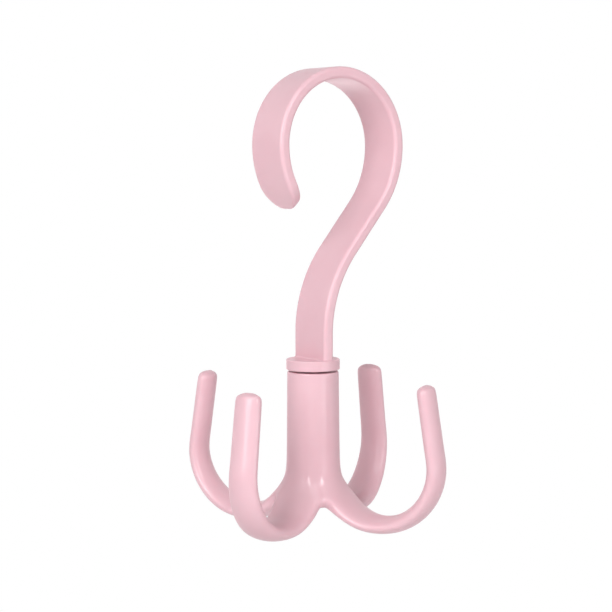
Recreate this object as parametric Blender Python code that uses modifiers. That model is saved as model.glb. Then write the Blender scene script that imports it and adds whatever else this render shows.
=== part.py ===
"""Rotating closet hook: a flat-band crook on a snap-in swivel spindle, and a four-armed claw hub that turns on it."""

import math

import bmesh
import bpy

MM = 0.001

# Crook band, from the collar to the free tip
BAND_WIDTH_ROOT = 19.1 * MM
BAND_WIDTH_TIP = 18.8 * MM
BAND_THICKNESS = 4.3 * MM
BAND_EDGE_RADIUS = 1.35 * MM
BAND_TIP_LENGTH = 10.2 * MM
BAND_ROOT_DEPTH = 1.6 * MM
BAND_ROOT_SHIFT = 0.5 * MM
STEM_STRAIGHT = 9.1 * MM
STEM_BEND_RADIUS = 47.5 * MM
STEM_BEND_DEG = 40.3
SPINE_STRAIGHT = 22.0 * MM
SPINE_BEND_RADIUS = 34.7 * MM
CROOK_RADIUS = 26.6 * MM
MOUTH_BEND_RADIUS = 31.4 * MM
MOUTH_BEND_DEG = 45.1
BAND_STEP = 2.2 * MM
PATH_STEP = 0.4 * MM
BAND_CORNER_STEPS = 3
BAND_TIP_STEPS = 9
BAND_TIP_ROUND_SHARE = 0.45

# Collar and snap-in spindle under the band
COLLAR_OVERHANG = 0.4 * MM
COLLAR_HEIGHT = 3.9 * MM
COLLAR_TOP_ROUND = 0.5 * MM
COLLAR_BOTTOM_CHAMFER = 0.3 * MM
SPINDLE_RADIUS = 2.7 * MM
SPINDLE_CLEARANCE = 0.3 * MM
SNAP_CATCH = 0.7 * MM
SNAP_HEAD_LAND = 0.8 * MM
SNAP_HEAD_LENGTH = 4.2 * MM
SNAP_TIP_RADIUS = 2.2 * MM
SNAP_SLOT_WIDTH = 1.3 * MM
SNAP_SLOT_ABOVE_HEAD = 2.2 * MM
ROUND_STEPS = 4
TURN_STEPS = 48
TURN_MERGE = 0.1 * MM

# Claw hub: sleeve, web and bore
COLLAR_GAP = 0.75 * MM
SEAT_GAP = 0.3 * MM
WEB_THICKNESS = 2.6 * MM
HUB_RADIUS_TOP = 9.6 * MM
HUB_TAPER = 0.35 * MM
SLEEVE_WALL = 4.35 * MM
HUB_TOP_ROUND = 0.9 * MM
FLARE_DEPTH = 40.3 * MM
FLARE_FILL = 0.8 * MM
HUB_TURN_DEG = 23.7

# One claw arm, along its centre line
FLARE_RADIUS = 19.65 * MM
ARM_FLAT = 0.45 * MM
ARM_BEND_RADIUS = 22.75 * MM
ARM_LEAN_RADIUS = 10.2 * MM
ARM_LEAN_DEG = 8.8
ARM_UPRIGHT = 28.9 * MM
ARM_TIP_BACKS = (3.6 * MM, 1.2 * MM, 0)
ARM_TIP_WIDTH_SHARES = (1, 0.97, 0.28)
ARM_TIP_THICK_SHARES = (1, 0.97, 0.18)
ARM_WIDTH_ROOT = 12.5 * MM
ARM_WIDTH_TIP = 10.35 * MM
ARM_SPREAD = 10.9 * MM
ARM_SPREAD_SHARE = 0.75
ARM_SPREAD_POWER = 1.5
ARM_THICK_LOW = 6.65 * MM
ARM_THICK_TIP = 6.6 * MM
ARM_ROUND_SHARE = 0.6
FLARE_ROUND_SHARE = 0.35
MIRROR_MERGE = 0.05 * MM
SUBDIVISION = 1

# Rows and columns of the claw's cage, in degrees and shares
COLUMN_DEG = 15.0
SLEEVE_SHARES = (0.34, 0.68)
FLARE_DEGS = (14.0, 28.0, 41.0)
LOW_DEGS = (57.0, 73.0, 90.0)
LOW_LAG_DEGS = (6.0, 3.0, 1.0)
BEND_DEGS = (18.0, 36.0, 54.0, 72.0, 89.0)
UPRIGHT_SHARES = (0.16, 0.4, 0.64)
HALF_COLUMN_SHARES = (0.2, 0.45, 0.8)
EDGE_COLUMN_SHARES = (0.0, 0.2, 0.5)
ARCH_REACH_SHARE = 1.05
ARCH_COLUMN_DEGS = (33.0, 36.5, 39.0)

# Places taken from the sizes
COLLAR_BOTTOM = -COLLAR_HEIGHT
HUB_TOP = COLLAR_BOTTOM - COLLAR_GAP
WEB_BOTTOM = HUB_TOP - WEB_THICKNESS
HEAD_TOP = WEB_BOTTOM - SEAT_GAP
HEAD_BOTTOM = HEAD_TOP - SNAP_HEAD_LENGTH
COLLAR_RADIUS = HUB_RADIUS_TOP + COLLAR_OVERHANG
SPINDLE_HOLE_RADIUS = SPINDLE_RADIUS + SPINDLE_CLEARANCE
SNAP_HEAD_RADIUS = SPINDLE_HOLE_RADIUS + SNAP_CATCH
HUB_RADIUS_LOW = HUB_RADIUS_TOP + HUB_TAPER
BORE_RADIUS = HUB_RADIUS_LOW - SLEEVE_WALL
ARM_ROOT_RHO = BORE_RADIUS + SLEEVE_WALL / 2
DIAGONAL = math.sqrt(2) / 2


def clear_scene():
    for obj in list(bpy.data.objects):
        bpy.data.objects.remove(obj, do_unlink=True)


def new_collection(name):
    collection = bpy.data.collections.new(name)
    bpy.context.scene.collection.children.link(collection)
    return collection


def plastic(name, colour, roughness):
    material = bpy.data.materials.new(name)
    material.use_nodes = True
    shader = material.node_tree.nodes["Principled BSDF"]
    shader.inputs["Base Color"].default_value = colour
    shader.inputs["Roughness"].default_value = roughness
    return material


def mesh_object(name, verts, faces, collection, creases=()):
    """A smooth-shaded object, with the edges between the vertex pairs in creases kept sharp."""
    mesh = bpy.data.meshes.new(name)
    mesh.from_pydata(verts, [], faces)
    shape = bmesh.new()
    shape.from_mesh(mesh)
    bmesh.ops.recalc_face_normals(shape, faces=shape.faces)
    shape.verts.ensure_lookup_table()
    layer = shape.edges.layers.float.new("crease_edge")
    for a, b in creases:
        shape.edges.get((shape.verts[a], shape.verts[b]))[layer] = 1
    shape.to_mesh(mesh)
    shape.free()
    mesh.polygons.foreach_set("use_smooth", [True] * len(mesh.polygons))
    obj = bpy.data.objects.new(name, mesh)
    collection.objects.link(obj)
    return obj


def cutter_object(obj):
    obj.hide_render = True
    obj.display_type = "WIRE"
    return obj


def boolean(obj, name, operation, other):
    modifier = obj.modifiers.new(name, "BOOLEAN")
    modifier.operation = operation
    modifier.solver = "EXACT"
    modifier.object = other


def walk(x, z, heading, pieces):
    """Points (x, z, heading) along straight runs and arcs; a positive turn goes from +Z toward +X."""
    points = [(x, z, heading)]
    for length, radius, turn in pieces:
        run = abs(turn) * radius if radius else length
        count = max(2, round(run / PATH_STEP))
        way = math.copysign(1, turn)
        for _ in range(count):
            chord = 2 * radius * math.sin(abs(turn) / count / 2) if radius else run / count
            middle = heading + turn / count / 2
            x += chord * math.sin(middle)
            z += chord * math.cos(middle)
            heading += way * abs(turn) / count
            points.append((x, z, heading))
    return points


def distances_of(path):
    found = [0]
    for (x0, z0, _), (x1, z1, _) in zip(path, path[1:]):
        found.append(found[-1] + math.hypot(x1 - x0, z1 - z0))
    return found


def resample(path, distances, wanted):
    """The path's (x, z, heading) at each rising distance in wanted."""
    found = []
    i = 0
    for distance in wanted:
        while i < len(path) - 2 and distance > distances[i + 1]:
            i += 1
        share = (distance - distances[i]) / (distances[i + 1] - distances[i])
        found.append([a + (b - a) * share for a, b in zip(path[i], path[i + 1])])
    return found


def crook_path():
    quarter = math.pi / 2
    bend = math.radians(STEM_BEND_DEG)
    return walk(
        BAND_ROOT_SHIFT,
        -BAND_ROOT_DEPTH,
        0,
        (
            (STEM_STRAIGHT + BAND_ROOT_DEPTH, 0, 0),
            (0, STEM_BEND_RADIUS, bend),
            (SPINE_STRAIGHT, 0, 0),
            (0, SPINE_BEND_RADIUS, -bend),
            (0, CROOK_RADIUS, -quarter),
            (0, CROOK_RADIUS, -quarter),
            (0, MOUTH_BEND_RADIUS, -math.radians(MOUTH_BEND_DEG)),
        ),
    )


def rounded_rectangle(width, thickness, radius):
    """Section points as (across the width, through the thickness)."""
    points = []
    for side_w, side_t, start in ((1, 1, 0), (-1, 1, 90), (-1, -1, 180), (1, -1, 270)):
        for i in range(BAND_CORNER_STEPS + 1):
            angle = math.radians(start + 90 * i / BAND_CORNER_STEPS)
            across = side_w * (width / 2 - radius) + radius * math.cos(angle)
            through = side_t * (thickness / 2 - radius) + radius * math.sin(angle)
            points.append((across, through))
    return points


def shrink(back, length, depth):
    """How far an elliptical end of this length and depth draws in, at this distance from the tip."""
    if back >= length:
        return 0
    return depth * (1 - math.sqrt(max(0, 1 - (1 - back / length) ** 2)))


def band_mesh():
    path = crook_path()
    distances = distances_of(path)
    total = distances[-1]
    count = round((total - BAND_TIP_LENGTH) / BAND_STEP)
    wanted = [(total - BAND_TIP_LENGTH) * i / count for i in range(count)]
    for i in range(BAND_TIP_STEPS):
        wanted.append(total - BAND_TIP_LENGTH * (1 - math.sin(math.pi / 2 * i / BAND_TIP_STEPS)))
    last_back = total - wanted[-1]
    wanted.append(total - last_back / BAND_TIP_STEPS)
    verts, faces = [], []
    for distance, (x, z, heading) in zip(wanted, resample(path, distances, wanted)):
        back = total - distance
        width = BAND_WIDTH_ROOT + (BAND_WIDTH_TIP - BAND_WIDTH_ROOT) * distance / total
        width -= 2 * shrink(back, BAND_TIP_LENGTH, width / 2)
        thin = shrink(back, BAND_EDGE_RADIUS, BAND_EDGE_RADIUS)
        radius = min(BAND_EDGE_RADIUS - thin / 2, width * BAND_TIP_ROUND_SHARE)
        section = rounded_rectangle(width, BAND_THICKNESS - 2 * thin, radius)
        for across, through in section:
            verts.append((x + through * math.cos(heading), across, z - through * math.sin(heading)))
    ring = len(section)
    for start in range(0, len(verts) - ring, ring):
        for i in range(ring):
            j = (i + 1) % ring
            faces.append((start + i, start + j, start + ring + j, start + ring + i))
    faces.append(tuple(range(ring)))
    faces.append(tuple(range(len(verts) - ring, len(verts))))
    return verts, faces


def turned(name, profile, collection):
    """A solid turned about Z from an open profile at +X that runs from the axis down to the axis."""
    mesh = bpy.data.meshes.new(name)
    mesh.from_pydata([(r, 0, z) for r, z in profile], [(i, i + 1) for i in range(len(profile) - 1)], [])
    obj = bpy.data.objects.new(name, mesh)
    collection.objects.link(obj)
    screw = obj.modifiers.new("turn", "SCREW")
    screw.axis = "Z"
    screw.steps = TURN_STEPS
    screw.render_steps = TURN_STEPS
    screw.use_merge_vertices = True
    screw.merge_threshold = TURN_MERGE
    return obj


def spindle_profile():
    """Collar, spindle and barbed head, from the collar's top down the outer side."""
    points = [(0, 0)]
    for i in range(ROUND_STEPS + 1):
        angle = math.pi / 2 * i / ROUND_STEPS
        r = COLLAR_RADIUS - COLLAR_TOP_ROUND * (1 - math.sin(angle))
        points.append((r, -COLLAR_TOP_ROUND * (1 - math.cos(angle))))
    points += [
        (COLLAR_RADIUS, COLLAR_BOTTOM + COLLAR_BOTTOM_CHAMFER),
        (COLLAR_RADIUS - COLLAR_BOTTOM_CHAMFER, COLLAR_BOTTOM),
        (SPINDLE_RADIUS, COLLAR_BOTTOM),
        (SPINDLE_RADIUS, HEAD_TOP),
        (SNAP_HEAD_RADIUS, HEAD_TOP),
        (SNAP_HEAD_RADIUS, HEAD_TOP - SNAP_HEAD_LAND),
        (SNAP_TIP_RADIUS, HEAD_BOTTOM),
        (0, HEAD_BOTTOM),
    ]
    return points


def box(name, size, centre, collection):
    shape = bmesh.new()
    bmesh.ops.create_cube(shape, size=1)
    bmesh.ops.scale(shape, vec=size, verts=shape.verts)
    bmesh.ops.translate(shape, vec=centre, verts=shape.verts)
    mesh = bpy.data.meshes.new(name)
    shape.to_mesh(mesh)
    shape.free()
    obj = bpy.data.objects.new(name, mesh)
    collection.objects.link(obj)
    return obj


def gain(step_degrees):
    """How far out a cage row goes so that the smoothed surface keeps its radius."""
    return 1 / (2 / 3 + math.cos(math.radians(step_degrees)) / 3)


def blend(a, b, share):
    return tuple(p + (q - p) * share for p, q in zip(a, b))


def ring_point(radius, column_degrees, z):
    """A point of the sleeve in the arm's own frame: outward, sideways, up."""
    angle = math.radians(column_degrees)
    full = radius * gain(COLUMN_DEG)
    return (full * math.cos(angle), full * math.sin(angle), z)


def flare_station(degrees, step):
    """Centre line of the arm where it leaves the sleeve: (outward, up), normal and thickness."""
    angle = math.radians(degrees)
    reach = FLARE_RADIUS * gain(step)
    rho = ARM_ROOT_RHO + FLARE_RADIUS - reach * math.cos(angle)
    z = -FLARE_DEPTH - reach * math.sin(angle)
    thick = SLEEVE_WALL + (ARM_THICK_LOW - SLEEVE_WALL) * degrees / 90
    return (rho, z), (math.cos(angle), math.sin(angle)), thick


def arm_width(share):
    """The arm narrows evenly from the sleeve to its tip, and spreads where it leaves the sleeve."""
    spread = ARM_SPREAD * max(0, 1 - share / ARM_SPREAD_SHARE) ** ARM_SPREAD_POWER
    return ARM_WIDTH_ROOT + (ARM_WIDTH_TIP - ARM_WIDTH_ROOT) * share + spread


def flare_width(degrees):
    run = FLARE_RADIUS * math.pi / 2
    return arm_width(run * degrees / 90 / (run + ARM_BEND_RADIUS * math.pi / 2 + ARM_UPRIGHT))


def flare_fill(degrees):
    """Extra thickness on top of the arm where it leaves the sleeve."""
    return FLARE_FILL * math.sin(math.radians(2 * degrees)) ** 2


def arm_point(station, width, across, side, round_share, fill=0):
    """Upper (side +1) or lower (side -1) surface point of the arm, across from -1 to 1 of its half width."""
    (rho, z), (normal_rho, normal_z), thick = station
    lift = side * thick / 2 * (1 - round_share * across * across)
    if side > 0:
        lift += fill
    return (rho + lift * normal_rho, across * width / 2, z + lift * normal_z)


def outer_stations():
    """Stations from the start of the outer bend to the arm's tip, with the width at each."""
    bend = math.pi / 2
    flat = ARM_ROOT_RHO + FLARE_RADIUS + ARM_FLAT
    low = -FLARE_DEPTH - FLARE_RADIUS
    lean = math.radians(ARM_LEAN_DEG)
    found = []
    run = ARM_BEND_RADIUS * bend
    total = run + ARM_UPRIGHT
    for degrees in BEND_DEGS:
        angle = math.radians(degrees)
        reach = ARM_BEND_RADIUS * gain(BEND_DEGS[0])
        centre = (flat + reach * math.sin(angle), low + ARM_BEND_RADIUS - reach * math.cos(angle))
        found.append((centre, (-math.sin(angle), math.cos(angle)), ARM_BEND_RADIUS * angle / total))
    top_rho = flat + ARM_BEND_RADIUS - ARM_LEAN_RADIUS * (1 - math.cos(lean))
    top_z = low + ARM_BEND_RADIUS + ARM_LEAN_RADIUS * math.sin(lean)
    lengths = [ARM_UPRIGHT * share for share in UPRIGHT_SHARES]
    lengths += [ARM_UPRIGHT - back for back in ARM_TIP_BACKS]
    for length in lengths:
        centre = (top_rho - length * math.sin(lean), top_z + length * math.cos(lean))
        found.append((centre, (-math.cos(lean), -math.sin(lean)), (run + length) / total))
    plain = len(found) - len(ARM_TIP_BACKS)
    thin_shares = [1] * plain + list(ARM_TIP_THICK_SHARES)
    narrow_shares = [1] * plain + list(ARM_TIP_WIDTH_SHARES)
    stations = []
    inner_share = FLARE_RADIUS * bend / (FLARE_RADIUS * bend + total)
    for (centre, normal, share), thin, narrow in zip(found, thin_shares, narrow_shares):
        thick = thin * (ARM_THICK_LOW + (ARM_THICK_TIP - ARM_THICK_LOW) * share)
        width = narrow * arm_width(inner_share + (1 - inner_share) * share)
        stations.append(((centre, normal, thick), width))
    return stations


def sleeve_rows(side):
    """The sleeve's cage rows from the web down to the row where the arms start to leave it."""
    columns = [COLUMN_DEG * i for i in range(-3, 4)]
    rows = []
    if side > 0:
        top = HUB_TOP - HUB_TOP_ROUND
        for radius, z in (
            (SPINDLE_HOLE_RADIUS, HUB_TOP),
            ((SPINDLE_HOLE_RADIUS + HUB_RADIUS_TOP) / 2, HUB_TOP),
            (HUB_RADIUS_TOP - HUB_TOP_ROUND, HUB_TOP),
            (HUB_RADIUS_TOP, HUB_TOP),
            (HUB_RADIUS_TOP, top),
        ):
            rows.append([ring_point(radius, c, z) for c in columns])
    else:
        top = WEB_BOTTOM
        rows.append([ring_point(SPINDLE_HOLE_RADIUS, c, top) for c in columns])
        rows.append([ring_point(BORE_RADIUS, c, top) for c in columns])
    for share in (*SLEEVE_SHARES, 1):
        z = top + (-FLARE_DEPTH - top) * share
        radius = HUB_RADIUS_TOP + HUB_TAPER * share if side > 0 else BORE_RADIUS
        rows.append([ring_point(radius, c, z) for c in columns])
    return rows


def flare_rows(side):
    """Rows where the sleeve flares out and turns into arms, down to the top of the arches between them."""
    rows = []
    for number, degrees in enumerate(FLARE_DEGS):
        shares = {0: 1, 1: HALF_COLUMN_SHARES[number], 2: EDGE_COLUMN_SHARES[number], 3: 0}
        angles = {0: 0, 1: COLUMN_DEG, 2: ARCH_COLUMN_DEGS[number], 3: 3 * COLUMN_DEG}
        row = []
        for i in range(-3, 4):
            reach = ARCH_REACH_SHARE if abs(i) == 3 else 1
            station = flare_station(degrees * reach, FLARE_DEGS[0])
            fill = flare_fill(degrees)
            out, _, z = arm_point(station, 0, 0, side, 0, fill)
            ring = ring_point(out, math.copysign(angles[abs(i)], i), z)
            arm = arm_point(station, flare_width(degrees), i / 2, side, FLARE_ROUND_SHARE, fill)
            row.append(blend(ring, arm, shares[abs(i)]))
        rows.append(row)
    return rows


def arm_rows(side):
    rows = []
    for degrees, lag in zip(LOW_DEGS, LOW_LAG_DEGS):
        row = []
        for i in range(-2, 3):
            station = flare_station(degrees - lag * abs(i) / 2, LOW_DEGS[1] - LOW_DEGS[0])
            fill = flare_fill(degrees - lag * abs(i) / 2)
            row.append(arm_point(station, flare_width(degrees), i / 2, side, ARM_ROUND_SHARE, fill))
        rows.append(row)
    for station, width in outer_stations():
        rows.append([arm_point(station, width, i / 2, side, ARM_ROUND_SHARE) for i in range(-2, 3)])
    return rows


def claw_cage():
    """Cage of one arm and its quarter of the sleeve, between the planes X = 0 and Y = 0."""
    verts, faces, creases = [], [], []

    def add(rows):
        numbers = []
        for row in rows:
            numbers.append(list(range(len(verts), len(verts) + len(row))))
            for out, aside, z in row:
                verts.append(((out - aside) * DIAGONAL, (out + aside) * DIAGONAL, z))
        return numbers

    def skin(rows):
        for a, b in zip(rows, rows[1:]):
            for i in range(len(a) - 1):
                faces.append((a[i], a[i + 1], b[i + 1], b[i]))

    upper = add(sleeve_rows(1) + flare_rows(1))
    lower = add(sleeve_rows(-1) + flare_rows(-1))
    upper_arm = [upper[-1][1:-1]] + add(arm_rows(1))
    lower_arm = [lower[-1][1:-1]] + add(arm_rows(-1))
    for rows in (upper, lower, upper_arm, lower_arm):
        skin(rows)
    skin([upper[0], lower[0]])
    for a, b in ((0, 1), (-2, -1)):
        faces.append((upper[-1][a], upper[-1][b], lower[-1][b], lower[-1][a]))
    for edge in (0, -1):
        skin([[row[edge] for row in upper_arm], [row[edge] for row in lower_arm]])
    skin([upper_arm[-1], lower_arm[-1]])
    for row in (upper[0], lower[0], lower[1]):
        creases += zip(row, row[1:])
    return verts, faces, creases


clear_scene()
product = new_collection("rotating_closet_hook")
cutters = new_collection("cutters")
highest = max(crook_path(), key=lambda point: point[1])
PLACE = (-highest[0], 0, -highest[1] + BAND_THICKNESS / 2)

crook = mesh_object("crook_hook", *band_mesh(), product)
spindle = cutter_object(turned("collar_and_spindle", spindle_profile(), cutters))
slot_height = SNAP_SLOT_ABOVE_HEAD + SNAP_HEAD_LENGTH + SNAP_HEAD_LAND
slot_size = (SNAP_SLOT_WIDTH, SNAP_HEAD_RADIUS * 3, slot_height)
slot_centre = (0, 0, HEAD_TOP + SNAP_SLOT_ABOVE_HEAD - slot_height / 2)
slot = cutter_object(box("snap_slot", slot_size, slot_centre, cutters))
boolean(crook, "join collar and spindle", "UNION", spindle)
boolean(crook, "split the snap head", "DIFFERENCE", slot)

verts, faces, creases = claw_cage()
claw = mesh_object("claw_hub", verts, faces, product, creases)
mirror = claw.modifiers.new("four arms", "MIRROR")
mirror.use_axis = (True, True, False)
mirror.use_clip = True
mirror.merge_threshold = MIRROR_MERGE
smooth = claw.modifiers.new("smooth skin", "SUBSURF")
smooth.levels = SUBDIVISION
smooth.render_levels = SUBDIVISION

for obj in (crook, claw, spindle, slot):
    obj.location = PLACE
claw.rotation_euler = (0, 0, math.radians(HUB_TURN_DEG - 45))

crook.data.materials.append(plastic("pale_pink_crook", (0.78, 0.47, 0.52, 1), 0.35))
claw.data.materials.append(plastic("pale_pink_claw", (0.78, 0.47, 0.52, 1), 0.35))
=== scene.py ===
"""Looks of the rotating closet hook: fine skins of its two pale pink mouldings, white studio."""

import math

import bmesh
import bpy
from mathutils import Matrix, Vector


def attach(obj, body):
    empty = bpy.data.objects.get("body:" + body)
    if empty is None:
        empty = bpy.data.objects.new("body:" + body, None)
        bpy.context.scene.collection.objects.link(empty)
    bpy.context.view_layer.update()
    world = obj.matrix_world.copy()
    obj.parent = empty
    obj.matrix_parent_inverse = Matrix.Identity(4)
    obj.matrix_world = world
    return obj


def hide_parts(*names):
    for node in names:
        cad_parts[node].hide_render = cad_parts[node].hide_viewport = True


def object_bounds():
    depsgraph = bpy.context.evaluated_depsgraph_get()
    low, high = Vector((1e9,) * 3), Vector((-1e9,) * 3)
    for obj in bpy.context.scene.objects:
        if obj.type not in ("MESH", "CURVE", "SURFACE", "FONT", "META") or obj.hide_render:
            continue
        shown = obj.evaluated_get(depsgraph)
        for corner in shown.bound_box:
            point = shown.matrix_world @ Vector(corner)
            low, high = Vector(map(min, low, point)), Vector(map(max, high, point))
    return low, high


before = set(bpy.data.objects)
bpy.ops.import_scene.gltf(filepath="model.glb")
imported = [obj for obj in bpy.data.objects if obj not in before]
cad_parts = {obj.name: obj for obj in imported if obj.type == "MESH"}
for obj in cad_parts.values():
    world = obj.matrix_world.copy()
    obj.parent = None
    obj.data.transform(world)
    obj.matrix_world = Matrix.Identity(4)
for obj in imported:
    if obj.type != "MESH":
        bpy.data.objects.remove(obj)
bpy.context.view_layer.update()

MM = 0.001

# Sizes of the object, the same as the CAD's
BAND_WIDTH_ROOT = 19.1 * MM
BAND_WIDTH_TIP = 18.8 * MM
BAND_THICKNESS = 4.3 * MM
BAND_EDGE_RADIUS = 1.35 * MM
BAND_TIP_LENGTH = 10.2 * MM
BAND_ROOT_DEPTH = 1.6 * MM
BAND_ROOT_SHIFT = 0.5 * MM
STEM_STRAIGHT = 9.1 * MM
STEM_BEND_RADIUS = 47.5 * MM
STEM_BEND_DEG = 40.3
SPINE_STRAIGHT = 22.0 * MM
SPINE_BEND_RADIUS = 34.7 * MM
CROOK_RADIUS = 26.6 * MM
MOUTH_BEND_RADIUS = 31.4 * MM
MOUTH_BEND_DEG = 45.1
COLLAR_OVERHANG = 0.4 * MM
COLLAR_HEIGHT = 3.9 * MM
COLLAR_TOP_ROUND = 0.5 * MM
COLLAR_BOTTOM_CHAMFER = 0.3 * MM
SPINDLE_RADIUS = 2.7 * MM
SPINDLE_CLEARANCE = 0.3 * MM
SNAP_CATCH = 0.7 * MM
SNAP_HEAD_LAND = 0.8 * MM
SNAP_HEAD_LENGTH = 4.2 * MM
SNAP_TIP_RADIUS = 2.2 * MM
SNAP_SLOT_WIDTH = 1.3 * MM
SNAP_SLOT_ABOVE_HEAD = 2.2 * MM
COLLAR_GAP = 0.75 * MM
SEAT_GAP = 0.3 * MM
WEB_THICKNESS = 2.6 * MM
HUB_RADIUS_TOP = 9.6 * MM
HUB_TAPER = 0.35 * MM
SLEEVE_WALL = 4.35 * MM
HUB_TOP_ROUND = 0.9 * MM
FLARE_DEPTH = 40.3 * MM
FLARE_FILL = 0.8 * MM
HUB_TURN_DEG = 23.7
FLARE_RADIUS = 19.65 * MM
ARM_FLAT = 0.45 * MM
ARM_BEND_RADIUS = 22.75 * MM
ARM_LEAN_RADIUS = 10.2 * MM
ARM_LEAN_DEG = 8.8
ARM_UPRIGHT = 28.9 * MM
ARM_TIP_BACKS = (3.6 * MM, 1.2 * MM, 0)
ARM_TIP_WIDTH_SHARES = (1, 0.97, 0.28)
ARM_TIP_THICK_SHARES = (1, 0.97, 0.18)
ARM_WIDTH_ROOT = 12.5 * MM
ARM_WIDTH_TIP = 10.35 * MM
ARM_SPREAD = 10.9 * MM
ARM_SPREAD_SHARE = 0.75
ARM_SPREAD_POWER = 1.5
ARM_THICK_LOW = 6.65 * MM
ARM_THICK_TIP = 6.6 * MM
ARM_ROUND_SHARE = 0.6
FLARE_ROUND_SHARE = 0.35

# Cage of the claw: its columns, and its rows from the sleeve's top to the arms' tips
COLUMN_DEG = 15.0
SLEEVE_SHARES = (0.34, 0.68)
FLARE_DEGS = (14.0, 28.0, 41.0)
LOW_DEGS = (57.0, 73.0, 90.0)
LOW_LAG_DEGS = (6.0, 3.0, 1.0)
BEND_DEGS = (18.0, 36.0, 54.0, 72.0, 89.0)
UPRIGHT_SHARES = (0.16, 0.4, 0.64)
HALF_COLUMN_SHARES = (0.2, 0.45, 0.8)
EDGE_COLUMN_SHARES = (0.0, 0.2, 0.5)
ARCH_REACH_SHARE = 1.05
ARCH_COLUMN_DEGS = (33.0, 36.5, 39.0)

# Fineness of the skins, and forms that only the skins have
BAND_STEP = 0.8 * MM
PATH_STEP = 0.4 * MM
BAND_CORNER_STEPS = 8
BAND_FLAT_SHARES = (0.97, 0.5, 0, -0.5, -0.97)
BAND_SIDE_SHARES = (0.8, 0, -0.8)
BAND_TIP_STEPS = 26
BAND_TIP_ROUND_SHARE = 0.45
ROOT_RING_SHARE = 0.9
ROOT_FILLET = 0.6 * MM
ROOT_FILLET_STEPS = 5
COLLAR_FLAT_SHARE = 0.97
SLOT_LENGTH_TIMES = 3
ROUND_STEPS = 8
TURN_STEPS = 160
TURN_MERGE = 0.1 * MM
MIRROR_MERGE = 0.05 * MM
CLEAN_MERGE = 0.003 * MM
CLAW_LEVELS = 3
SMOOTH_DEG = 38

# Plastic
PINK_DEEP = (0.760, 0.477, 0.533, 1)
PINK_LIGHT = (0.784, 0.506, 0.560, 1)
ROUGH_LOW = 0.42
ROUGH_HIGH = 0.48
PLASTIC_IOR = 1.5
SPECULAR_LEVEL = 0.12
POLISH_WEIGHT = 0.22
POLISH_ROUGHNESS = 0.19
POLISH_IOR = 2.2
SUBSURFACE_WEIGHT = 0.12
SUBSURFACE_RADIUS = (1.0, 0.45, 0.5)
SUBSURFACE_SCALE = 1.2 * MM
# Noises as (scale per metre, detail), read between the two ends below
CLOUD_NOISE = (60, 3)
GLOSS_NOISE = (220, 4)
GRAIN_NOISE = (2600, 2)
WAVE_NOISE = (130, 1)
NOISE_ENDS = (0.3, 0.7)
GRAIN_STRENGTH = 0.04
GRAIN_DEPTH = 0.05 * MM
WAVE_STRENGTH = 0.05
WAVE_DEPTH = 0.12 * MM

# Studio
WHITE = (1, 1, 1, 1)
WORLD_STRENGTH = 0.230
FLOOR_DROP = 0.13
FLOOR_SIZE = 12
FLOOR_CELLS = 24
FLOOR_INNER = 0.1
FLOOR_OUTER = 0.3
FLOOR_WHITE_NEAR = 0.3
FLOOR_COLOUR = (0.9, 0.9, 0.9, 1)
FLOOR_ROUGHNESS = 0.9
FLOOR_SPECULAR = 0.1

# Lamps as (name, azimuth, elevation, distance, width, height, power): degrees, metres, watts
LIGHTS = (
    ("left_edge", -88, 24, 1.2, 0.12, 0.7, 0.6),
    ("left_key", -71, 20, 1.2, 0.35, 0.8, 4.45),
    ("left_strip", -58, 24, 1.2, 0.14, 0.7, 3.3),
    ("right_strip", -2, 25, 1.2, 0.2, 0.6, 3.95),
    ("right_low", 20, -8, 1.2, 0.8, 0.3, 1.95),
    ("upper_fill", -37, 50, 1.2, 0.6, 0.5, 2.05),
)
# Lamps behind the object that light it without showing in its gloss
BACK_FILLS = (
    ("side_fill", 122, 14, 1.2, 0.4, 0.8, 3.3),
    ("rear_fill", 172, 5, 1.2, 1.5, 0.6, 6.4),
)
# Lamp that lights the inner top of the crook alone
CROOK_LAMP = ("crook_ceiling", 152, -17, 0.4, 0.22, 0.14, 0.14)
LAMP_AIM_HEIGHT = 20 * MM

# Camera, fitted to the photo's outline
VIEW_AZIMUTH = -37.190
VIEW_ELEVATION = 5.020
VIEW_ROLL = -0.204
VIEW_DISTANCE = 612.9 * MM
VIEW_ACROSS = -2.504 * MM
VIEW_UP = 19.663 * MM
FRAME_PIXELS = 612
FOCAL_PIXELS = 1649.5
SENSOR_WIDTH = 36
CLIP_START = 0.01
CLIP_END = 50

# Places taken from the sizes
COLLAR_BOTTOM = -COLLAR_HEIGHT
HUB_TOP = COLLAR_BOTTOM - COLLAR_GAP
WEB_BOTTOM = HUB_TOP - WEB_THICKNESS
HEAD_TOP = WEB_BOTTOM - SEAT_GAP
HEAD_BOTTOM = HEAD_TOP - SNAP_HEAD_LENGTH
COLLAR_RADIUS = HUB_RADIUS_TOP + COLLAR_OVERHANG
SPINDLE_HOLE_RADIUS = SPINDLE_RADIUS + SPINDLE_CLEARANCE
SNAP_HEAD_RADIUS = SPINDLE_HOLE_RADIUS + SNAP_CATCH
HUB_RADIUS_LOW = HUB_RADIUS_TOP + HUB_TAPER
BORE_RADIUS = HUB_RADIUS_LOW - SLEEVE_WALL
ARM_ROOT_RHO = BORE_RADIUS + SLEEVE_WALL / 2
CAGE_ARM_DEG = 45
DIAGONAL = math.sqrt(2) / 2


def new_object(name, data):
    """An object for this mesh, lamp or camera, put into the scene."""
    obj = bpy.data.objects.new(name, data)
    bpy.context.scene.collection.objects.link(obj)
    return obj


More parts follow.
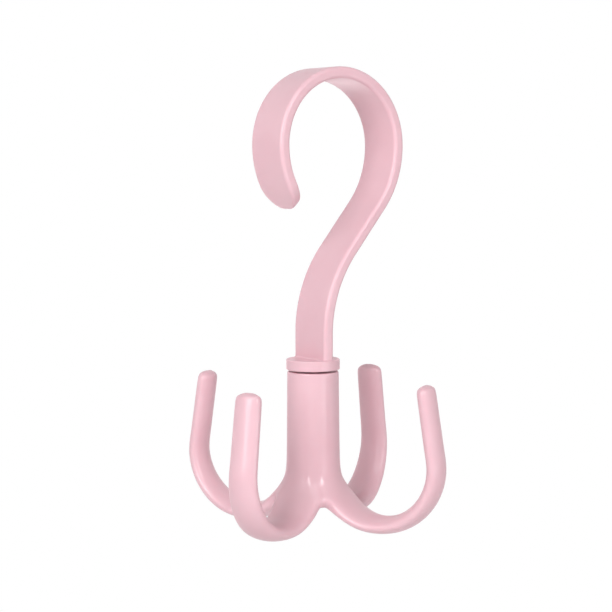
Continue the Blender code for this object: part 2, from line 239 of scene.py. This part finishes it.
def mesh_object(name, verts, faces, creases=()):
    """A mesh object, with the edges between the vertex pairs in creases kept sharp."""
    mesh = bpy.data.meshes.new(name)
    mesh.from_pydata(verts, [], faces)
    shape = bmesh.new()
    shape.from_mesh(mesh)
    bmesh.ops.recalc_face_normals(shape, faces=shape.faces)
    shape.verts.ensure_lookup_table()
    layer = shape.edges.layers.float.new("crease_edge")
    for a, b in creases:
        shape.edges.get((shape.verts[a], shape.verts[b]))[layer] = 1
    shape.to_mesh(mesh)
    shape.free()
    return new_object(name, mesh)


def boolean(obj, name, operation, other):
    """Joins the other object to this one, or cuts it away."""
    modifier = obj.modifiers.new(name, "BOOLEAN")
    modifier.operation = operation
    modifier.solver = "EXACT"
    modifier.object = other


def applied(obj, name, *helpers):
    """The object's evaluated mesh as a plain one, with the helpers and the old mesh gone."""
    bpy.context.view_layer.update()
    graph = bpy.context.evaluated_depsgraph_get()
    mesh = bpy.data.meshes.new_from_object(obj.evaluated_get(graph))
    place = obj.matrix_world.copy()
    for old in (obj, *helpers):
        bpy.data.objects.remove(old)
    mesh.transform(place)
    mesh.name = name
    return new_object(name, mesh)


def cleaned(mesh):
    """Joins points that all but touch and drops the slivers that a boolean leaves."""
    shape = bmesh.new()
    shape.from_mesh(mesh)
    bmesh.ops.remove_doubles(shape, verts=shape.verts, dist=CLEAN_MERGE)
    bmesh.ops.dissolve_degenerate(shape, edges=shape.edges, dist=CLEAN_MERGE)
    shape.to_mesh(mesh)
    shape.free()


def smooth_shaded(obj):
    """Smooth shading, with the edges sharper than SMOOTH_DEG kept as edges."""
    obj.data.shade_smooth()
    obj.data.set_sharp_from_angle(angle=math.radians(SMOOTH_DEG))


def walk(x, z, heading, pieces):
    """Points (x, z, heading) along straight runs and arcs; a positive turn leads from +Z to +X."""
    points = [(x, z, heading)]
    for length, radius, turn in pieces:
        run = abs(turn) * radius if radius else length
        count = max(2, round(run / PATH_STEP))
        step = turn / count
        for _ in range(count):
            chord = 2 * radius * math.sin(abs(step) / 2) if radius else run / count
            middle = heading + step / 2
            x += chord * math.sin(middle)
            z += chord * math.cos(middle)
            heading += step
            points.append((x, z, heading))
    return points


def distances_of(path):
    """The way walked from the path's start to each of its points."""
    found = [0]
    for (x0, z0, _), (x1, z1, _) in zip(path, path[1:]):
        found.append(found[-1] + math.hypot(x1 - x0, z1 - z0))
    return found


def resample(path, distances, wanted):
    """The path's (x, z, heading) at each rising distance in wanted."""
    found = []
    i = 0
    for distance in wanted:
        while i < len(path) - 2 and distance > distances[i + 1]:
            i += 1
        share = (distance - distances[i]) / (distances[i + 1] - distances[i])
        found.append([a + (b - a) * share for a, b in zip(path[i], path[i + 1])])
    return found


def crook_path():
    """The band's centre line from inside the collar to the crook's tip, as (x, z, heading)."""
    quarter = math.pi / 2
    bend = math.radians(STEM_BEND_DEG)
    return walk(
        BAND_ROOT_SHIFT,
        -BAND_ROOT_DEPTH,
        0,
        (
            (STEM_STRAIGHT + BAND_ROOT_DEPTH, 0, 0),
            (0, STEM_BEND_RADIUS, bend),
            (SPINE_STRAIGHT, 0, 0),
            (0, SPINE_BEND_RADIUS, -bend),
            (0, CROOK_RADIUS, -quarter),
            (0, CROOK_RADIUS, -quarter),
            (0, MOUTH_BEND_RADIUS, -math.radians(MOUTH_BEND_DEG)),
        ),
    )


def rounded_rectangle(width, thickness, radius):
    """Section points as (across the width, through the thickness), on corners and flats."""
    points = []
    flat = width / 2 - radius
    side = thickness / 2 - radius
    for side_w, side_t, start in ((1, 1, 0), (-1, 1, 90), (-1, -1, 180), (1, -1, 270)):
        for i in range(BAND_CORNER_STEPS + 1):
            angle = math.radians(start + 90 * i / BAND_CORNER_STEPS)
            across = side_w * flat + radius * math.cos(angle)
            points.append((across, side_t * side + radius * math.sin(angle)))
        if start in (0, 180):
            columns = [(side_w * flat * k, side_t * thickness / 2) for k in BAND_FLAT_SHARES]
        else:
            columns = [(side_w * width / 2, side_t * side * k) for k in BAND_SIDE_SHARES]
        points += columns
    return points


def shrink(back, length, depth):
    """How far an elliptical end of this length and depth draws in, this far from the tip."""
    if back >= length:
        return 0
    return depth * (1 - math.sqrt(max(0, 1 - (1 - back / length) ** 2)))


def band_distances(total):
    """Where the band's rings lie along its path: root, fillet, plain run and half-round tip."""
    wanted = [0, BAND_ROOT_DEPTH * ROOT_RING_SHARE]
    for i in range(1, ROOT_FILLET_STEPS + 1):
        rise = 1 - math.cos(math.pi / 2 * i / ROOT_FILLET_STEPS)
        wanted.append(BAND_ROOT_DEPTH + ROOT_FILLET * rise)
    start = wanted[-1]
    run = total - BAND_TIP_LENGTH - start
    count = round(run / BAND_STEP)
    wanted += [start + run * i / count for i in range(1, count)]
    for i in range(BAND_TIP_STEPS):
        back = BAND_TIP_LENGTH * (1 - math.sin(math.pi / 2 * i / BAND_TIP_STEPS))
        wanted.append(total - back)
    wanted.append(total - back / BAND_TIP_STEPS)
    return wanted


def band_mesh():
    """The crook's band as rings of points and the faces between them."""
    path = crook_path()
    distances = distances_of(path)
    total = distances[-1]
    wanted = band_distances(total)
    verts, faces = [], []
    for distance, (x, z, heading) in zip(wanted, resample(path, distances, wanted)):
        back = total - distance
        width = BAND_WIDTH_ROOT + (BAND_WIDTH_TIP - BAND_WIDTH_ROOT) * distance / total
        width -= 2 * shrink(back, BAND_TIP_LENGTH, width / 2)
        thin = shrink(back, BAND_EDGE_RADIUS, BAND_EDGE_RADIUS)
        thickness = BAND_THICKNESS - 2 * thin
        radius = min(BAND_EDGE_RADIUS - thin / 2, width * BAND_TIP_ROUND_SHARE)
        grow = shrink(max(0, distance - BAND_ROOT_DEPTH), ROOT_FILLET, ROOT_FILLET)
        section = rounded_rectangle(width + 2 * grow, thickness + 2 * grow, radius + grow)
        for across, through in section:
            # The fillet stops at the band's own edge where the collar's rim falls away
            out = math.hypot(across, x + through)
            if grow and out > COLLAR_RADIUS - COLLAR_TOP_ROUND / 2:
                across -= math.copysign(grow, across)
            verts.append((x + through * math.cos(heading), across, z - through * math.sin(heading)))
    ring = len(section)
    for start in range(0, len(verts) - ring, ring):
        for i in range(ring):
            j = (i + 1) % ring
            faces.append((start + i, start + j, start + ring + j, start + ring + i))
    faces.append(tuple(range(ring)))
    faces.append(tuple(range(len(verts) - ring, len(verts))))
    return verts, faces


def turned(name, profile):
    """A solid turned about Z from an open profile that starts and ends on the axis."""
    mesh = bpy.data.meshes.new(name)
    edges = [(i, i + 1) for i in range(len(profile) - 1)]
    mesh.from_pydata([(r, 0, z) for r, z in profile], edges, [])
    obj = new_object(name, mesh)
    screw = obj.modifiers.new("turn", "SCREW")
    screw.axis = "Z"
    screw.steps = TURN_STEPS
    screw.render_steps = TURN_STEPS
    screw.use_merge_vertices = True
    screw.merge_threshold = TURN_MERGE
    return obj


def spindle_profile():
    """Collar, spindle and barbed head, from the collar's top down the outer side."""
    points = [(0, 0), ((COLLAR_RADIUS - COLLAR_TOP_ROUND) * COLLAR_FLAT_SHARE, 0)]
    for i in range(ROUND_STEPS + 1):
        angle = math.pi / 2 * i / ROUND_STEPS
        r = COLLAR_RADIUS - COLLAR_TOP_ROUND * (1 - math.sin(angle))
        points.append((r, -COLLAR_TOP_ROUND * (1 - math.cos(angle))))
    for i in range(ROUND_STEPS + 1):
        angle = math.pi / 2 * i / ROUND_STEPS
        r = COLLAR_RADIUS - COLLAR_BOTTOM_CHAMFER * (1 - math.cos(angle))
        points.append((r, COLLAR_BOTTOM + COLLAR_BOTTOM_CHAMFER * (1 - math.sin(angle))))
    points += [
        (SPINDLE_RADIUS, COLLAR_BOTTOM),
        (SPINDLE_RADIUS, HEAD_TOP),
        (SNAP_HEAD_RADIUS, HEAD_TOP),
        (SNAP_HEAD_RADIUS, HEAD_TOP - SNAP_HEAD_LAND),
        (SNAP_TIP_RADIUS, HEAD_BOTTOM),
        (0, HEAD_BOTTOM),
    ]
    return points


def box(name, size, centre):
    """A block of this size around this centre."""
    shape = bmesh.new()
    bmesh.ops.create_cube(shape, size=1)
    bmesh.ops.scale(shape, vec=size, verts=shape.verts)
    bmesh.ops.translate(shape, vec=centre, verts=shape.verts)
    mesh = bpy.data.meshes.new(name)
    shape.to_mesh(mesh)
    shape.free()
    return new_object(name, mesh)


def gain(step_degrees):
    """How far out a cage row goes so that the subdivided surface keeps its radius."""
    return 1 / (2 / 3 + math.cos(math.radians(step_degrees)) / 3)


def mix(a, b, share):
    """The point this share of the way from a to b."""
    return tuple(p + (q - p) * share for p, q in zip(a, b))


def ring_point(radius, column_degrees, z):
    """A point of the sleeve in the arm's own frame: outward, sideways, up."""
    angle = math.radians(column_degrees)
    full = radius * gain(COLUMN_DEG)
    return (full * math.cos(angle), full * math.sin(angle), z)


def flare_station(degrees, step):
    """Centre line of the arm where it leaves the sleeve: (outward, up), normal and thickness."""
    angle = math.radians(degrees)
    reach = FLARE_RADIUS * gain(step)
    rho = ARM_ROOT_RHO + FLARE_RADIUS - reach * math.cos(angle)
    z = -FLARE_DEPTH - reach * math.sin(angle)
    thick = SLEEVE_WALL + (ARM_THICK_LOW - SLEEVE_WALL) * degrees / 90
    return (rho, z), (math.cos(angle), math.sin(angle)), thick


def arm_width(share):
    """The arm narrows evenly from the sleeve to its tip, and spreads where it leaves the sleeve."""
    spread = ARM_SPREAD * max(0, 1 - share / ARM_SPREAD_SHARE) ** ARM_SPREAD_POWER
    return ARM_WIDTH_ROOT + (ARM_WIDTH_TIP - ARM_WIDTH_ROOT) * share + spread


def flare_width(degrees):
    """The arm's width at this angle of the flare."""
    run = FLARE_RADIUS * math.pi / 2
    return arm_width(run * degrees / 90 / (run + ARM_BEND_RADIUS * math.pi / 2 + ARM_UPRIGHT))


def flare_fill(degrees):
    """Extra thickness on top of the arm where it leaves the sleeve."""
    return FLARE_FILL * math.sin(math.radians(2 * degrees)) ** 2


def arm_point(station, width, across, side, round_share, fill=0):
    """Point of the arm's upper (side 1) or lower (side -1) face, across from -1 to 1."""
    (rho, z), (normal_rho, normal_z), thick = station
    lift = side * thick / 2 * (1 - round_share * across * across)
    if side > 0:
        lift += fill
    return (rho + lift * normal_rho, across * width / 2, z + lift * normal_z)


def outer_stations():
    """Stations from the start of the outer bend to the arm's tip, with the width at each."""
    bend = math.pi / 2
    flat = ARM_ROOT_RHO + FLARE_RADIUS + ARM_FLAT
    low = -FLARE_DEPTH - FLARE_RADIUS
    lean = math.radians(ARM_LEAN_DEG)
    found = []
    run = ARM_BEND_RADIUS * bend
    total = run + ARM_UPRIGHT
    for degrees in BEND_DEGS:
        angle = math.radians(degrees)
        reach = ARM_BEND_RADIUS * gain(BEND_DEGS[0])
        centre = (flat + reach * math.sin(angle), low + ARM_BEND_RADIUS - reach * math.cos(angle))
        found.append((centre, (-math.sin(angle), math.cos(angle)), ARM_BEND_RADIUS * angle / total))
    top_rho = flat + ARM_BEND_RADIUS - ARM_LEAN_RADIUS * (1 - math.cos(lean))
    top_z = low + ARM_BEND_RADIUS + ARM_LEAN_RADIUS * math.sin(lean)
    lengths = [ARM_UPRIGHT * share for share in UPRIGHT_SHARES]
    lengths += [ARM_UPRIGHT - back for back in ARM_TIP_BACKS]
    for length in lengths:
        centre = (top_rho - length * math.sin(lean), top_z + length * math.cos(lean))
        found.append((centre, (-math.cos(lean), -math.sin(lean)), (run + length) / total))
    plain = len(found) - len(ARM_TIP_BACKS)
    thin_shares = [1] * plain + list(ARM_TIP_THICK_SHARES)
    narrow_shares = [1] * plain + list(ARM_TIP_WIDTH_SHARES)
    stations = []
    inner_share = FLARE_RADIUS * bend / (FLARE_RADIUS * bend + total)
    for (centre, normal, share), thin, narrow in zip(found, thin_shares, narrow_shares):
        thick = thin * (ARM_THICK_LOW + (ARM_THICK_TIP - ARM_THICK_LOW) * share)
        width = narrow * arm_width(inner_share + (1 - inner_share) * share)
        stations.append(((centre, normal, thick), width))
    return stations


def sleeve_rows(side):
    """The sleeve's cage rows from the web down to the row where the arms start to leave it."""
    columns = [COLUMN_DEG * i for i in range(-3, 4)]
    rows = []
    if side > 0:
        top = HUB_TOP - HUB_TOP_ROUND
        for radius, z in (
            (SPINDLE_HOLE_RADIUS, HUB_TOP),
            ((SPINDLE_HOLE_RADIUS + HUB_RADIUS_TOP) / 2, HUB_TOP),
            (HUB_RADIUS_TOP - HUB_TOP_ROUND, HUB_TOP),
            (HUB_RADIUS_TOP, HUB_TOP),
            (HUB_RADIUS_TOP, top),
        ):
            rows.append([ring_point(radius, c, z) for c in columns])
    else:
        top = WEB_BOTTOM
        rows.append([ring_point(SPINDLE_HOLE_RADIUS, c, top) for c in columns])
        rows.append([ring_point(BORE_RADIUS, c, top) for c in columns])
    for share in (*SLEEVE_SHARES, 1):
        z = top + (-FLARE_DEPTH - top) * share
        radius = HUB_RADIUS_TOP + HUB_TAPER * share if side > 0 else BORE_RADIUS
        rows.append([ring_point(radius, c, z) for c in columns])
    return rows


def flare_rows(side):
    """Rows where the sleeve flares out into arms, down to the top of the arches between them."""
    rows = []
    for number, degrees in enumerate(FLARE_DEGS):
        shares = {0: 1, 1: HALF_COLUMN_SHARES[number], 2: EDGE_COLUMN_SHARES[number], 3: 0}
        angles = {0: 0, 1: COLUMN_DEG, 2: ARCH_COLUMN_DEGS[number], 3: 3 * COLUMN_DEG}
        row = []
        for i in range(-3, 4):
            reach = ARCH_REACH_SHARE if abs(i) == 3 else 1
            station = flare_station(degrees * reach, FLARE_DEGS[0])
            fill = flare_fill(degrees)
            out, _, z = arm_point(station, 0, 0, side, 0, fill)
            ring = ring_point(out, math.copysign(angles[abs(i)], i), z)
            arm = arm_point(station, flare_width(degrees), i / 2, side, FLARE_ROUND_SHARE, fill)
            row.append(mix(ring, arm, shares[abs(i)]))
        rows.append(row)
    return rows


def arm_rows(side):
    """Rows of one free arm, from the arches to its tip."""
    rows = []
    for degrees, lag in zip(LOW_DEGS, LOW_LAG_DEGS):
        row = []
        for i in range(-2, 3):
            station = flare_station(degrees - lag * abs(i) / 2, LOW_DEGS[1] - LOW_DEGS[0])
            fill = flare_fill(degrees - lag * abs(i) / 2)
            row.append(arm_point(station, flare_width(degrees), i / 2, side, ARM_ROUND_SHARE, fill))
        rows.append(row)
    for station, width in outer_stations():
        rows.append([arm_point(station, width, i / 2, side, ARM_ROUND_SHARE) for i in range(-2, 3)])
    return rows


def claw_cage():
    """Cage of one arm and its quarter of the sleeve, between the planes X = 0 and Y = 0."""
    verts, faces, creases = [], [], []

    def add(rows):
        """Adds rows of points, and gives their numbers row by row."""
        numbers = []
        for row in rows:
            numbers.append(list(range(len(verts), len(verts) + len(row))))
            for out, aside, z in row:
                verts.append(((out - aside) * DIAGONAL, (out + aside) * DIAGONAL, z))
        return numbers

    def skin(rows):
        """Faces between each row and the next."""
        for a, b in zip(rows, rows[1:]):
            for i in range(len(a) - 1):
                faces.append((a[i], a[i + 1], b[i + 1], b[i]))

    upper = add(sleeve_rows(1) + flare_rows(1))
    lower = add(sleeve_rows(-1) + flare_rows(-1))
    upper_arm = [upper[-1][1:-1]] + add(arm_rows(1))
    lower_arm = [lower[-1][1:-1]] + add(arm_rows(-1))
    for rows in (upper, lower, upper_arm, lower_arm):
        skin(rows)
    skin([upper[0], lower[0]])
    for a, b in ((0, 1), (-2, -1)):
        faces.append((upper[-1][a], upper[-1][b], lower[-1][b], lower[-1][a]))
    for edge in (0, -1):
        skin([[row[edge] for row in upper_arm], [row[edge] for row in lower_arm]])
    skin([upper_arm[-1], lower_arm[-1]])
    for row in (upper[0], lower[0], lower[1]):
        creases += zip(row, row[1:])
    return verts, faces, creases


def set_inputs(node, values):
    """Sets the node's named inputs to plain values."""
    for name, value in values.items():
        node.inputs[name].default_value = value


def pink_plastic(name, seed):
    """Satin pale pink plastic: faint clouds, a fine moulded skin and slightly uneven gloss."""
    material = bpy.data.materials.new(name)
    material.use_nodes = True
    nodes = material.node_tree.nodes
    links = material.node_tree.links
    shader = nodes["Principled BSDF"]
    set_inputs(
        shader,
        {
            "IOR": PLASTIC_IOR,
            "Specular IOR Level": SPECULAR_LEVEL,
            "Coat Weight": POLISH_WEIGHT,
            "Coat Roughness": POLISH_ROUGHNESS,
            "Coat IOR": POLISH_IOR,
            "Subsurface Weight": SUBSURFACE_WEIGHT,
            "Subsurface Radius": SUBSURFACE_RADIUS,
            "Subsurface Scale": SUBSURFACE_SCALE,
        },
    )
    place = nodes.new("ShaderNodeTexCoord")
    shift = nodes.new("ShaderNodeMapping")
    shift.inputs["Location"].default_value = (seed, seed * 2, 0)
    links.new(place.outputs["Object"], shift.inputs["Vector"])

    def noise(scale, detail):
        """Output of a noise in the object's own coordinates."""
        node = nodes.new("ShaderNodeTexNoise")
        set_inputs(node, {"Scale": scale, "Detail": detail})
        links.new(shift.outputs["Vector"], node.inputs["Vector"])
        return node.outputs["Fac"]

    def bump(strength, depth, height):
        """A bump node of this strength over this height."""
        node = nodes.new("ShaderNodeBump")
        set_inputs(node, {"Strength": strength, "Distance": depth})
        links.new(height, node.inputs["Height"])
        return node

    clouds = nodes.new("ShaderNodeValToRGB")
    for stop, position, colour in zip(
        clouds.color_ramp.elements, NOISE_ENDS, (PINK_DEEP, PINK_LIGHT)
    ):
        stop.position = position
        stop.color = colour
    links.new(noise(*CLOUD_NOISE), clouds.inputs["Fac"])
    links.new(clouds.outputs["Color"], shader.inputs["Base Color"])

    gloss = nodes.new("ShaderNodeMapRange")
    low, high = NOISE_ENDS
    ends = {"From Min": low, "From Max": high, "To Min": ROUGH_LOW, "To Max": ROUGH_HIGH}
    set_inputs(gloss, ends)
    links.new(noise(*GLOSS_NOISE), gloss.inputs["Value"])
    links.new(gloss.outputs["Result"], shader.inputs["Roughness"])

    grain = bump(GRAIN_STRENGTH, GRAIN_DEPTH, noise(*GRAIN_NOISE))
    waves = bump(WAVE_STRENGTH, WAVE_DEPTH, noise(*WAVE_NOISE))
    links.new(grain.outputs["Normal"], waves.inputs["Normal"])
    links.new(waves.outputs["Normal"], shader.inputs["Normal"])
    return material


# Crook: band with collar and snap-in spindle
highest = max(crook_path(), key=lambda point: point[1])
PLACE = Vector((-highest[0], 0, -highest[1] + BAND_THICKNESS / 2))
crook = mesh_object("crook_raw", *band_mesh())
spindle = turned("collar_and_spindle", spindle_profile())
slot_height = SNAP_SLOT_ABOVE_HEAD + SNAP_HEAD_LENGTH + SNAP_HEAD_LAND
slot_size = (SNAP_SLOT_WIDTH, SNAP_HEAD_RADIUS * SLOT_LENGTH_TIMES, slot_height)
slot_centre = (0, 0, HEAD_TOP + SNAP_SLOT_ABOVE_HEAD - slot_height / 2)
slot = box("snap_slot", slot_size, slot_centre)
boolean(crook, "join collar and spindle", "UNION", spindle)
boolean(crook, "split the snap head", "DIFFERENCE", slot)
crook.location = spindle.location = slot.location = PLACE
crook = applied(crook, "crook_moulding", spindle, slot)
cleaned(crook.data)
smooth_shaded(crook)
weighted = crook.modifiers.new("even shading", "WEIGHTED_NORMAL")
weighted.keep_sharp = True

# Claw: sleeve and four arms
claw = mesh_object("claw_raw", *claw_cage())
mirror = claw.modifiers.new("four arms", "MIRROR")
mirror.use_axis = (True, True, False)
mirror.use_clip = True
mirror.merge_threshold = MIRROR_MERGE
smooth = claw.modifiers.new("smooth skin", "SUBSURF")
smooth.levels = CLAW_LEVELS
smooth.render_levels = CLAW_LEVELS
claw.location = PLACE
claw.rotation_euler = (0, 0, math.radians(HUB_TURN_DEG - CAGE_ARM_DEG))
claw = applied(claw, "claw_moulding")
smooth_shaded(claw)

# The last number shifts the noise, so that the two pieces differ
for piece, body, node, slot_name, seed in (
    (crook, "crook", "crook_hook", "pale_pink_crook", 0.3),
    (claw, "claw", "claw_hub", "pale_pink_claw", 0.7),
):
    piece.data.materials.clear()
    piece.data.materials.append(pink_plastic(slot_name, seed))
    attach(piece, body)
    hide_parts(node)


def direct_view(nodes, links):
    """1 for rays that see a place straight or by reflection, 0 for rays that gather its light."""
    seen = nodes.new("ShaderNodeLightPath")
    total = seen.outputs["Is Camera Ray"]
    for kind in ("Is Glossy Ray", "Is Transmission Ray"):
        either = nodes.new("ShaderNodeMath")
        either.operation = "MAXIMUM"
        links.new(total, either.inputs[0])
        links.new(seen.outputs[kind], either.inputs[1])
        total = either.outputs[0]
    return total


def studio_white():
    """Floor: a lit pale surface near the object that fades to plain white farther off."""
    material = bpy.data.materials.new("studio_white")
    material.use_nodes = True
    nodes = material.node_tree.nodes
    links = material.node_tree.links
    shader = nodes["Principled BSDF"]
    shader.inputs["Base Color"].default_value = FLOOR_COLOUR
    shader.inputs["Roughness"].default_value = FLOOR_ROUGHNESS
    shader.inputs["Specular IOR Level"].default_value = FLOOR_SPECULAR
    white = nodes.new("ShaderNodeEmission")
    white.inputs["Strength"].default_value = 1
    place = nodes.new("ShaderNodeTexCoord")
    length = nodes.new("ShaderNodeVectorMath")
    length.operation = "LENGTH"
    links.new(place.outputs["Object"], length.inputs[0])
    far = nodes.new("ShaderNodeMapRange")
    far.interpolation_type = "SMOOTHSTEP"
    ends = {"From Min": FLOOR_INNER, "From Max": FLOOR_OUTER, "To Min": FLOOR_WHITE_NEAR}
    set_inputs(far, {**ends, "To Max": 1})
    links.new(length.outputs["Value"], far.inputs["Value"])
    share = nodes.new("ShaderNodeMath")
    share.operation = "MULTIPLY"
    links.new(direct_view(nodes, links), share.inputs[0])
    links.new(far.outputs["Result"], share.inputs[1])
    mixed = nodes.new("ShaderNodeMixShader")
    links.new(share.outputs[0], mixed.inputs["Fac"])
    links.new(shader.outputs["BSDF"], mixed.inputs[1])
    links.new(white.outputs["Emission"], mixed.inputs[2])
    links.new(mixed.outputs["Shader"], nodes["Material Output"].inputs["Surface"])
    return material


def floor():
    """The floor under the hanging hook, which catches its shadow."""
    low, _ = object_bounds()
    shape = bmesh.new()
    bmesh.ops.create_grid(
        shape, x_segments=FLOOR_CELLS, y_segments=FLOOR_CELLS, size=FLOOR_SIZE / 2
    )
    mesh = bpy.data.meshes.new("studio_floor")
    shape.to_mesh(mesh)
    shape.free()
    obj = new_object("studio_floor", mesh)
    obj.location = (PLACE.x, 0, low[2] - FLOOR_DROP)
    mesh.materials.append(studio_white())


def studio_world():
    """Soft even light from all round, seen as plain white."""
    world = bpy.data.worlds.new("studio")
    bpy.context.scene.world = world
    world.use_nodes = True
    nodes = world.node_tree.nodes
    links = world.node_tree.links
    light = nodes["Background"]
    set_inputs(light, {"Color": WHITE, "Strength": WORLD_STRENGTH})
    white = nodes.new("ShaderNodeBackground")
    set_inputs(white, {"Color": WHITE, "Strength": 1})
    mixed = nodes.new("ShaderNodeMixShader")
    links.new(direct_view(nodes, links), mixed.inputs["Fac"])
    links.new(light.outputs["Background"], mixed.inputs[1])
    links.new(white.outputs["Background"], mixed.inputs[2])
    links.new(mixed.outputs["Shader"], nodes["World Output"].inputs["Surface"])


def direction(azimuth, elevation):
    """From the object towards a place at this azimuth and elevation, both in degrees."""
    a, e = math.radians(azimuth), math.radians(elevation)
    return Vector((math.sin(a) * math.cos(e), -math.cos(a) * math.cos(e), math.sin(e)))


def softbox(name, azimuth, elevation, distance, width, height, power):
    """A rectangular lamp that faces the object and is not seen itself."""
    light = bpy.data.lights.new(name, "AREA")
    light.shape = "RECTANGLE"
    light.size = width
    light.size_y = height
    light.energy = power
    obj = new_object(name, light)
    towards = direction(azimuth, elevation)
    obj.location = CENTRE + towards * distance
    obj.rotation_euler = towards.to_track_quat("Z", "Y").to_euler()
    obj.visible_camera = False
    return obj


CENTRE = PLACE + Vector((0, 0, LAMP_AIM_HEIGHT))
floor()
studio_world()
for values in LIGHTS:
    softbox(*values)
for values in BACK_FILLS:
    softbox(*values).visible_glossy = False
crook_only = bpy.data.collections.new("crook_only")
crook_only.objects.link(crook)
crook_lamp = softbox(*CROOK_LAMP)
crook_lamp.light_linking.receiver_collection = crook_only


def camera():
    """The photo's camera, and the scene's."""
    data = bpy.data.cameras.new("camera")
    data.sensor_width = SENSOR_WIDTH
    data.lens = FOCAL_PIXELS / FRAME_PIXELS * SENSOR_WIDTH
    data.clip_start = CLIP_START
    data.clip_end = CLIP_END
    obj = new_object("camera", data)
    back = direction(VIEW_AZIMUTH, VIEW_ELEVATION)
    a = math.radians(VIEW_AZIMUTH)
    right = Vector((math.cos(a), math.sin(a), 0))
    up = back.cross(right)
    roll = math.radians(VIEW_ROLL)
    right_rolled = right * math.cos(roll) + up * math.sin(roll)
    up_rolled = up * math.cos(roll) - right * math.sin(roll)
    target = PLACE + right * VIEW_ACROSS + Vector((0, 0, VIEW_UP))
    turn = Matrix((right_rolled, up_rolled, back)).transposed().to_4x4()
    obj.matrix_world = Matrix.Translation(target + back * VIEW_DISTANCE) @ turn
    bpy.context.scene.camera = obj


camera()
bpy.context.scene.view_settings.view_transform = "Standard"
